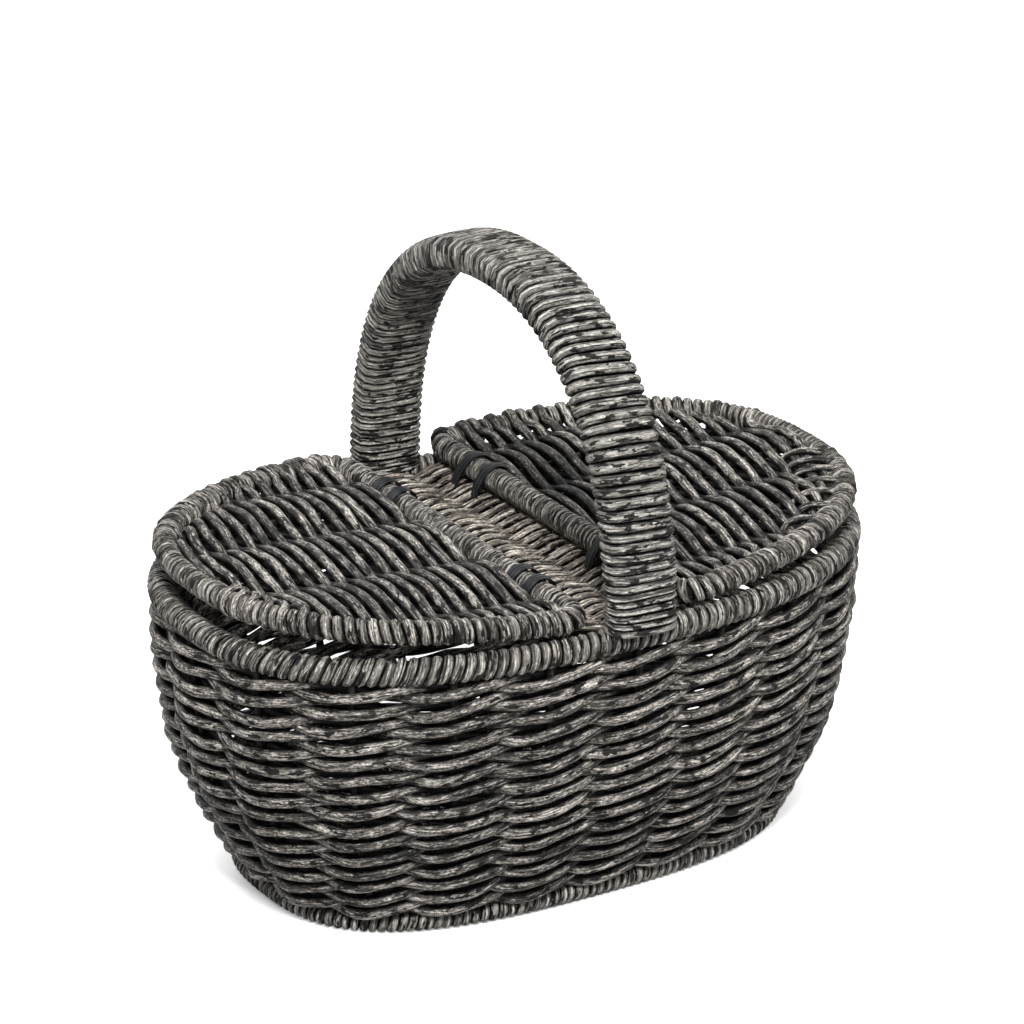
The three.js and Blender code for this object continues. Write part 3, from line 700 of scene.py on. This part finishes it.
arch_oval = (rim_oval[1] + HANDLE_OUTSET, HANDLE_RISE, HANDLE_SQUARE)
arch = oval_point(arch_oval, np.linspace(np.pi, 0, AROUND))
arch_points = np.c_[np.zeros(AROUND), arch[:, 0], HANDLE_FOOT + arch[:, 1]]
arch_ahead = unit(np.gradient(arch_points, axis=0))
arch_track = Track(arch_points, (1, 0, 0), np.cross((1, 0, 0), arch_ahead))
handle = Bundle("handle_winding", handle_finish, "wrapping_strand", "root")
section = ((HANDLE_WIDTH - HANDLE_STRAND) / 2, (HANDLE_THICK - HANDLE_STRAND) / 2, SECTION_SQUARE)
turns = wind(handle, arch_track, section,
             lambda run: float(np.interp(run / arch_track.length, *HANDLE_PITCH)), HANDLE_STRAND, lean=0.8,
             per_turn=20, first=HANDLE_MARGIN, last=arch_track.length - HANDLE_MARGIN, uneven=0.1)
print("handle", round(arch_track.length), "mm long, turns:", turns[0][-1])
handle.piece("handle_wrap")
stain(cane_finish, "handle_rod_1", "handle_rod_2", "handle_rod_3")

# %% [markdown]
# Each lid is a hoop shaped like a D. Its straight bar is the hinge, and three ribs run from the bar to
# the tip. A lid is worked flat, with the hinge on the Y axis, and `hang` then tilts it and sets it on the
# basket. The left lid is turned half round for that, so its +Y side becomes the front, while that of the
# right lid is the back.

# %% The place of a lid
HINGE_HEIGHT, LID_SLOPE = 190.4, math.radians(3.6)
sides = {"left": (-1, 34.0), "right": (1, 31.0)}  # its way along X, and how far out its hinge is
lid_oval = rim_oval - np.array([2, 3, 0])


def hang(side, rows, direction=False):
    """Turns rows that were worked flat into the place of a lid."""
    sign, hinge = sides[side]
    x, y, z = np.asarray(rows, float).T
    tilted = np.array([x * math.cos(LID_SLOPE) - z * math.sin(LID_SLOPE), y,
                       x * math.sin(LID_SLOPE) + z * math.cos(LID_SLOPE)])
    placed = (tilted * np.array([[sign], [sign], [1]])).T
    return placed if direction else placed + np.array([sign * hinge, 0, HINGE_HEIGHT])


def half_width(oval, x):
    """How far an oval reaches to each side at x."""
    length, width, square = oval
    return width * np.maximum(1 - (np.abs(x) / length) ** square, 0) ** (1 / square)


for side, (_, hinge) in sides.items():
    print(side, "lid:", round(2 * float(half_width(lid_oval, hinge))), "mm wide at its hinge")

# %% [markdown]
# The hoop's line is the curve of the lid and its two corners. The corners are plain curves that lean on
# the point where the hinge bar and the oval would meet.

# %% The line of a hoop
LID_HOOP, LID_CORNER = 15.0, 14.0
CORNER_STEPS, CURVE_STEPS = 9, 241


def hoop_rows(hinge):
    """The hoop's line, flat: round one corner, along the curve and round the other corner."""
    bar = half_width(lid_oval, hinge) - LID_CORNER
    corner_x = hinge + LID_CORNER
    turn_at = np.array([hinge, half_width(lid_oval, hinge)])
    start, end = np.array([hinge, bar]), np.array([corner_x, half_width(lid_oval, corner_x)])
    t = np.linspace(0, 1, CORNER_STEPS)[:, None]
    corner = (1 - t) ** 2 * start + 2 * t * (1 - t) * turn_at + t ** 2 * end
    angle = math.atan2(end[1] / lid_oval[1], end[0] / lid_oval[0])
    curve = oval_point(lid_oval, np.linspace(angle, -angle, CURVE_STEPS))
    plan = np.concatenate([corner, curve[1:-1], (corner * (1, -1))[::-1]]) - (hinge, 0)
    return np.c_[plan, np.zeros(len(plan))]


def flat_track(rows):
    """A track whose directions lie across it and straight up."""
    ahead = unit(np.gradient(rows, axis=0))
    return Track(rows, unit(np.cross((0, 0, 1), ahead)), (0, 0, 1))


# %% [markdown]
# The hoop and the hinge bar are wound, each with a strand of its own. The turns are wide along the front
# and the back of a lid and narrow round its tip. The turns of the hoop are kept, because the strands of
# the weave will lie down on them.

# %% Wind the lids
BAR_TURN, BAR_STRAND, BAR_OVERLAP = 4.0, 3.8, 2
HOOP_TURN, TIP_TURN, TIP_SHARE, HOOP_STRAND, HOOP_SUNK = 6.3, 4.0, 0.13, 4.6, 0.4
hoop_turns = {}


def hoop_pitch(track):
    """The width of a turn for each distance along the hoop."""
    def at(run):
        tip = math.exp(-((run / track.length - 0.5) / TIP_SHARE) ** 4)
        return HOOP_TURN - (HOOP_TURN - TIP_TURN) * tip
    return at


for side, (_, hinge) in sides.items():
    hoop = flat_track(hoop_rows(hinge))
    border = Bundle(f"lid_{side}_winding", wrap_finish, "wrapping_strand", f"{side}_lid")
    reach = (LID_HOOP - HOOP_STRAND) / 2 - HOOP_SUNK
    hoop_turns[side] = wind(border, hoop, (reach, reach, 2), hoop_pitch(hoop), HOOP_STRAND, lean=0.8,
                            place=partial(hang, side))
    bar_end = half_width(lid_oval, hinge) - LID_CORNER + BAR_OVERLAP
    bar = np.linspace((0, -bar_end, 0), (0, bar_end, 0), 101)
    reach = (LID_HOOP - BAR_STRAND) / 2
    bar_turns = wind(border, flat_track(bar), (reach, reach, 2), BAR_TURN, BAR_STRAND, uneven=0.15,
                     lean=0.8, tones=(0.4, 1.0), place=partial(hang, side))
    print(side, "hoop turns:", hoop_turns[side][0][-1], "hinge bar turns:", bar_turns[0][-1])
    border.piece(f"lid_{side}_wrap")
    stain(cane_finish, f"lid_{side}_hoop")

# %% [markdown]
# Seen from above, a strand of a lid runs over the hoop in line with its winding, so that it looks like
# one more turn. `hoop_end` follows a turn from the hoop's inner side over the top and down to its
# underside. A few points are enough for the rest of a strand's end, because `through` lays a smooth curve
# with even steps through them. A row is a place, the direction out of the weave and the height that the
# painted shade of the finish goes by.

# %% How a strand's end is drawn
SNUG, END_LIFT = 0.45, 6.0  # how far an end lies off the winding, and its height for the finish
LONG_STEP, SHORT_STEP, TIE_STEP = 3.4, 2.6, 2.0  # between the rings of a cane


def through(points, step):
    """A smooth path through a few points, cut into even steps."""
    points = np.asarray(points, float)
    t = run_along(points, 0.7)
    slope = np.gradient(points, t, axis=0)
    fine = np.linspace(0, t[-1], 40 * len(points))
    k = np.clip(np.searchsorted(t, fine, side="right") - 1, 0, len(points) - 2)
    h = (t[k + 1] - t[k])[:, None]
    w = ((fine - t[k]) / h[:, 0])[:, None]
    curve = ((2 * w ** 3 - 3 * w ** 2 + 1) * points[k] + (w ** 3 - 2 * w ** 2 + w) * h * slope[k]
             + (3 * w ** 2 - 2 * w ** 3) * points[k + 1] + (w ** 3 - w ** 2) * h * slope[k + 1])
    run = run_along(curve[:, :3])
    even = np.linspace(0, run[-1], max(3, round(run[-1] / step) + 1))
    return np.stack([np.interp(even, run, column) for column in curve.T], -1)


def on_the_hoop(side, at, off):
    """Rows at some counts of turns round a hoop, this far outside its winding."""
    turn, path, outward = hoop_turns[side]
    rows = np.stack([np.interp(at, turn, column) for column in np.hstack([path, outward]).T], -1)
    rows[:, :3] += off[:, None] * rows[:, 3:]
    return np.c_[rows, np.full(len(rows), END_LIFT)]


def hoop_end(side, number, proud=SNUG):
    """A strand's way over the hoop, down the turn of this number, proud of it on the upper outer side."""
    degrees = np.arange(150, -150, -30)
    off = SNUG + (proud - SNUG) * np.sin(np.radians(np.clip(degrees + 60, 0, 180)))
    return on_the_hoop(side, number + degrees / 360, off)


def bend_on_lid(bundle, side, rows, step, width, thick, **rubbing):
    """A strand of a lid along a smooth path through rows."""
    smooth = through(rows, step)
    bundle.bend(hang(side, smooth[:, :3]), hang(side, unit(smooth[:, 3:6]), True), width, thick,
                lift=smooth[:, 6], **rubbing)


# %% [markdown]
# The lids are twined too. Two strands run side by side with the hinge bar, one over a rib and one under
# it, and change places before the next rib. The strands near the tip bow out with the hoop. At the hoop
# a strand either lies down on one of its turns or dives under it. Along the back the ends stand a little
# proud of the hoop, but only near the hinge: farther out they would touch the handle when the lid is up.

# %% One twined strand of a lid
LID_STRAND, LID_RIB, RIB_LEVEL, RIB_PITCH, RIBS = 6.1, 4.6, -1.5, 66.0, 3
LID_TWIST_OUT, LID_TWIST_SIDE, LID_BOW, BOW_AT = 5.3, 3.3, 5.0, 150
SHORT_OF_HOOP, LID_STEP = 8, 2.2
DIVE = ((6, -2.5), (11, -5.5))  # how far ahead and how low a strand is that dives
PROUD = {"left": (SNUG, 1.6), "right": (2.2, SNUG)}  # at the +Y side of the flat lid and at the other
PROUD_TO = (50, 110)  # from where to where it falls off, in mm from the hinge


def chord_end(side, x):
    """How far the chord at x runs from the lid's middle line before it meets the hoop."""
    radius = LID_HOOP / 2
    return half_width(lid_oval - np.array([radius, radius, 0]), x + sides[side][1]) - SHORT_OF_HOOP


def lid_weaver(bundle, side, x, twin, ends):
    """One of two twined strands: along the chord at x, and over or under the hoop at both ends.

    Ends are the numbers of the turns that it lies down on, or None where it dives.
    """
    dice, end = bundle.dice, chord_end(side, x)
    y = np.linspace(end, -end, max(9, int(end / LID_STEP)))
    phase = np.pi * (y / RIB_PITCH + twin)
    wobble = 1 + slow_waves(dice, len(y), (1, 2, 3), 0.1)
    rise = LID_TWIST_OUT * wobble * np.sign(np.cos(phase)) * np.abs(np.cos(phase)) ** FLAT_CREST
    chord_x = x + LID_TWIST_SIDE * np.sin(phase) + slow_waves(dice, len(y), (1, 2, 3, 5), 0.7)
    chord_x += LID_BOW * (x / BOW_AT) ** 3 * (1 - (y / end) ** 2)
    rows = np.c_[chord_x, y, RIB_LEVEL + rise, np.tile((0, 0, 1), (len(y), 1)), rise]
    drawn = []
    for way, number, proud in zip((1, -1), ends, PROUD[side]):
        last = rows[0 if way > 0 else -1]
        if number is None:
            (near, low), (far, lowest) = DIVE
            drawn.append(np.array([last + (0, way * near, min(low - last[2], 0), 0, 0, 0, 0),
                                   last + (0, way * far, lowest - last[2], 0, 0, 0, 0)]))
        else:
            proud = SNUG + (proud - SNUG) * np.interp(x, PROUD_TO, (1, 0))
            drawn.append(hoop_end(side, number, proud * dice.uniform(0.8, 1.3)))
    # Where a strand runs under a rib, and on its flanks, it is painted dark as shade.
    bend_on_lid(bundle, side, np.concatenate([drawn[0][::-1], rows, drawn[1]]), LONG_STEP,
                LID_STRAND * dice.uniform(0.92, 1.06), LID_STRAND * 0.8, crest=(0.6, 5.4), edge=0.15, fall=3)


# %% [markdown]
# A maker also has ends to hide. On the left lid they show as loops at the front: an end runs along inside
# the hoop past three turns and then lies down on the next one. On the right lid short straight ends come
# up out of the weave at the front and run slanting to the hoop.

# %% Loops and short ends
LOOP = np.array([(3, 195, 2.5), (2, 168, 5.2), (1, 148, 4.8), (0, 112, 1.5)])  # turns and degrees on, mm off
END_WAY, END_REACH, SHORT_END_LIFT = np.array([-0.854, 0.52]), (17, 28), 4.0
END_RISE = ((1.15, -3.0), (0.95, 2.5), (0.7, 4.9), (0.4, 5.2))  # share of the reach, and height
LOOP_SHAPE, SHORT_END_SHAPE = (0.95, 0.85), (0.8, 0.7)  # width and thickness, as shares of a strand
# How painted shade falls on the loops and the short ends.
END_PAINTED_SHADE = {"crest": (-0.5, 3.5), "edge": 0.3}


def edge_loop(bundle, side, number):
    """An end that runs along inside the hoop and then lies down on one of its turns."""
    before, degrees, off = LOOP.T
    rows = on_the_hoop(side, number + before + degrees / 360, off)
    bend_on_lid(bundle, side, np.concatenate([rows, hoop_end(side, number)[3:]]), SHORT_STEP,
                *(LID_STRAND * share for share in LOOP_SHAPE), **END_PAINTED_SHADE)


def short_end(bundle, side, number):
    """An end that comes up out of the weave and runs straight to the hoop."""
    reach = bundle.dice.uniform(*END_REACH)
    down = hoop_end(side, number)[1:]
    rows = [[*(down[1, :2] + share * reach * END_WAY), z, 0, 0, 1, SHORT_END_LIFT] for share, z in END_RISE]
    bend_on_lid(bundle, side, np.concatenate([rows, down]), SHORT_STEP,
                *(LID_STRAND * share for share in SHORT_END_SHAPE), **END_PAINTED_SHADE)


# %% [markdown]
# Now the lids are filled. The first strand of each pair takes the nearest turn of the hoop that is still
# free, its twin dives. `where_it_ends` says where the twist has carried a strand when it gets there, so
# that it goes on to its turn without a kink.

# %% Weave the lids
LID_PAIRS, LID_FIRST, LID_LAST_GAP = 16, 11.0, 3.5
MEETING, PAST_MIDDLE = 0.33, 20  # how far on in a turn strands meet it, and mm off the middle line
EXTRA_ENDS = {"left": (edge_loop, 2, 0.285, 0.405),  # every so many turns, between two shares of the hoop
              "right": (short_end, 3, 0.57, 0.79)}


def where_it_ends(side, xs, way):
    """The places where the strands meet the hoop on one side, with their twist."""
    phase = [math.pi * (way * chord_end(side, x) / RIB_PITCH + k % 2) for k, x in enumerate(xs)]
    return xs + LID_TWIST_SIDE * np.sin(phase)


def share_turns(side, xs, way):
    """Gives each second strand one of the two nearest turns on one side of the hoop, if one is free."""
    turn, path, _ = hoop_turns[side]
    numbers = np.arange(1, int(turn[-1]) - 1)
    meet_x, meet_y = (np.interp(numbers + MEETING, turn, path[:, i]) for i in (0, 1))
    fits = meet_y * way > PAST_MIDDLE
    given = [None] * len(xs)
    for k, x in list(enumerate(where_it_ends(side, xs, way)))[::2]:
        nearest = numbers[fits][np.argsort(np.abs(meet_x[fits] - x))][:2].tolist()
        given[k] = next((number for number in nearest if number not in given), None)
    return given


for side, (_, hinge) in sides.items():
    weave = Bundle(f"lid_{side}_weave", weave_finish, "woven_strand", f"{side}_lid")
    xs = np.repeat(np.linspace(LID_FIRST, lid_oval[0] - hinge - LID_HOOP / 2 - LID_LAST_GAP, LID_PAIRS), 2)
    for k, ends in enumerate(zip(share_turns(side, xs, 1), share_turns(side, xs, -1))):
        lid_weaver(weave, side, xs[k], k % 2, ends)
    print(side, "lid strands:", len(weave.places))
    extra_end, every, low, high = EXTRA_ENDS[side]
    turns = int(hoop_turns[side][0][-1])
    for number in [n for n in range(2, turns - 2) if low < n / turns < high][::every]:
        extra_end(weave, side, number)
    print(side, "loops and short ends:", len(weave.places) - len(xs))
    weave.piece(f"lid_{side}_panel")

# %% [markdown]
# The ribs are plain rods between the hinge bar and the tip. The pairs cross between them.

# %% Put in the ribs
RIB_TO_BAR, RIB_TO_TIP = 2, 4
for side, (_, hinge) in sides.items():
    ribs = Bundle(f"lid_{side}_ribs", cane_finish, "cane", f"{side}_lid")
    for k in range(RIBS):
        y = (k - (RIBS - 1) / 2) * RIB_PITCH
        tip = half_width(lid_oval[[1, 0, 2]], y) - hinge - RIB_TO_TIP
        lay_rod(ribs, (RIB_TO_BAR, y, RIB_LEVEL), (tip, y, RIB_LEVEL), 24, LID_RIB,
                place=partial(hang, side))
    ribs.piece(*[f"lid_{side}_rib_{k + 1}" for k in range(RIBS)])

# %% [markdown]
# Between the lids lies the bridge. Its thin strands are woven in twos across three rods: over both
# rails and under the rib between them, or the other way round, and each end goes right round its
# rail. That is why the bridge sinks to a shallow valley in the middle.

# %% Weave the bridge
RAIL_HEIGHT, RAIL, RAIL_X, RAIL_REACH = 176.6, 12.0, (-34, 31), 129
BRIDGE_STRAND, BRIDGE_PITCH, BRIDGE_REACH, BRIDGE_OVERLAP = 2.9, 4.5, 126.0, 0.15
VALLEY_X, RIB_HEIGHT, RIB_REACH, RIB_WIDTH, RIB_THICK = -4.0, 176.4, 127, 3.4, 2.2
OVER_RAILS = ((-60, -110, -160, -210, -255, -290),  # degrees round one rail, the middle, round the other
              ((-20, 178.4), (-12, 176.2), (VALLEY_X, 173.8), (4, 174.8), (14, 178.0), (23, 180.8)),
              (110, 75, 30, -20, -70, -120))
UNDER_RAILS = ((60, 110, 160, 210, 255, 290),
               ((-22, 174.2), (-13, 177.0), (VALLEY_X, 179.0), (5, 177.4), (14, 175.2), (22, 174.2)),
               (-110, -75, -30, 20, 70, 120))


def round_bar(x, height, radius, degrees):
    """Places round a bar: across and up, with the angle that they face."""
    angle = np.radians(degrees)
    return np.c_[x + radius * np.cos(angle), height + radius * np.sin(angle), angle]


bridge = Bundle("bridge_weave", bridge_finish, "woven_strand", "root")
roll = bridge.dice.uniform
radius = (RAIL - BRIDGE_STRAND) / 2
count = int(2 * BRIDGE_REACH / BRIDGE_PITCH)
for k in range(count):
    first, middle, last = (OVER_RAILS, UNDER_RAILS)[k % 2]
    for twin in (-0.5, 0.5):
        y = (k - (count - 1) / 2) * BRIDGE_PITCH + twin * (BRIDGE_STRAND - BRIDGE_OVERLAP) + roll(-0.3, 0.3)
        profile = [*round_bar(RAIL_X[0], RAIL_HEIGHT, radius, first),
                   *[(x + roll(-1, 1), z + roll(-0.3, 0.3), math.pi / 2) for x, z in middle],
                   *round_bar(RAIL_X[1], RAIL_HEIGHT, radius, last)]
        rows = [(x, y + roll(-0.25, 0.25), z, math.cos(a), 0, math.sin(a)) for x, z, a in profile]
        smooth = through(rows, SHORT_STEP)
        # Low in the valley and on their flanks the strands are painted dark as shade.
        bridge.bend(smooth[:, :3], unit(smooth[:, 3:]), BRIDGE_STRAND * roll(0.9, 1.08), sides=6,
                    lift=smooth[:, 2] - RAIL_HEIGHT, crest=(-1.5, 2.5), edge=0.3)
bridge.piece("bridge_panel")
rods = Bundle("bridge_rods", cane_finish, "cane", "root")
for x in RAIL_X:
    lay_rod(rods, (x, -RAIL_REACH, RAIL_HEIGHT), (x, RAIL_REACH, RAIL_HEIGHT), 30, RAIL - 2 * BRIDGE_STRAND,
            sides=10)
lay_rod(rods, (VALLEY_X + 1, -RIB_REACH, RIB_HEIGHT), (VALLEY_X + 1, RIB_REACH, RIB_HEIGHT), 30,
        RIB_WIDTH, RIB_THICK)
rods.piece("bridge_rail_left", "bridge_rail_right", "bridge_rib")
print("bridge strands:", 2 * count)

# %% [markdown]
# Dark flat strips tie each hinge bar to the rail under it, in pairs. A tie runs up over the bar and down
# round the rail, and leaves the bar room to turn. On the right the ties leave the bar towards the bridge
# and slant a little on their way down.

# %% Tie the hinges
tie_finish = strand_finish("dark_tie", (0.042, 0.046, 0.049), (0.020, 0.022, 0.024),
                           (0.005, 0.005, 0.0055), 0.3, 0.42, ridges=2.9)
TIE_WIDTH, TIE_THICK, TIE_DROP = {"left": 8.6, "right": 7.4}, 1.3, 16
OVER, UNDER = LID_HOOP / 2 + 1.55, RAIL / 2 + 1.5
TIES = {"left": ((-88, 0), (-70, 2), (61.4, 0), (77.9, 0)),  # where along the bar, and slant
        "right": ((-73, 1), (-56, 3), (66.9, 3), (88, 5))}
TIE_WAY = {"left": [*round_bar(0, HINGE_HEIGHT, OVER, (0, 30, 60, 90, 120, 150, 180)),
                    *round_bar(0, RAIL_HEIGHT, UNDER, (180, 215, 250, 270, 290, 325, 360))],
           "right": [*round_bar(0, HINGE_HEIGHT, OVER, (0, 30, 60, 90, 120)),
                     (-9.6, 191.5, 2.65), (-11.8, 186.0, 2.8), (-12.0, 180.5, 3.2), (-10.5, 172.5, 3.9),
                     *round_bar(0, RAIL_HEIGHT, UNDER, (250, 270, 290, 325, 360))]}
ties = Bundle("hinge_ties", tie_finish, "hinge_tie", "root")
for side, (sign, hinge) in sides.items():
    for y, slant in TIES[side]:
        rows = [(sign * hinge + x, y + slant * (HINGE_HEIGHT - z) / TIE_DROP, z, math.cos(a), 0, math.sin(a))
                for x, z, a in TIE_WAY[side] + TIE_WAY[side][:1]]
        smooth = through(rows, TIE_STEP)
        ties.bend(smooth[:, :3], unit(smooth[:, 3:]), TIE_WIDTH[side], TIE_THICK, sides=16, tone=1.0)
ties.piece(*[f"hinge_tie_{side}_{k}" for side in sides for k in (1, 2, 3, 4)])

# %% [markdown]
# Nobody sees the bottom in the photograph, but the basket is picked up and looked into. It is woven
# plainly: strands across, over and under three long sticks.

# %% Weave the base
BASE_LEVEL, BASE_STRAND, BASE_STICK, BASE_PITCH, BASE_STICKS = 6.2, 3.6, 4.0, 4.4, (-42, 0, 42)
BASE_WAVE, BASE_WIDER, BASE_FLATTER, BASE_MARGIN, STICK_MARGIN = 3.6, 1.32, 0.9, 4.5, 2
base = Bundle("base_weave", weave_finish, "woven_strand", "root")
inner = foot_oval - np.array([BASE_MARGIN, BASE_MARGIN, 0])
count = int(2 * inner[0] / BASE_PITCH)
for k in range(count):
    x = (k - (count - 1) / 2) * BASE_PITCH
    reach = half_width(inner, x)
    y = np.linspace(-reach, reach, max(7, round(reach / 3)))
    z = BASE_LEVEL + BASE_WAVE * np.cos(np.pi * y / BASE_STICKS[-1]) * (1 if k % 2 else -1)
    base.bend(np.c_[np.full(len(y), x), y, z], (0, 0, 1), BASE_STRAND * BASE_WIDER,
              BASE_STRAND * BASE_FLATTER, sides=6)
base.piece("base_panel")
base_sticks = Bundle("base_sticks", cane_finish, "cane", "root")
for y in BASE_STICKS:
    reach = half_width(inner[[1, 0, 2]], y) - STICK_MARGIN
    lay_rod(base_sticks, (-reach, y, BASE_LEVEL), (reach, y, BASE_LEVEL), 40, BASE_STICK)
base_sticks.piece("base_stick_1", "base_stick_2", "base_stick_3")
print("base strands:", count)
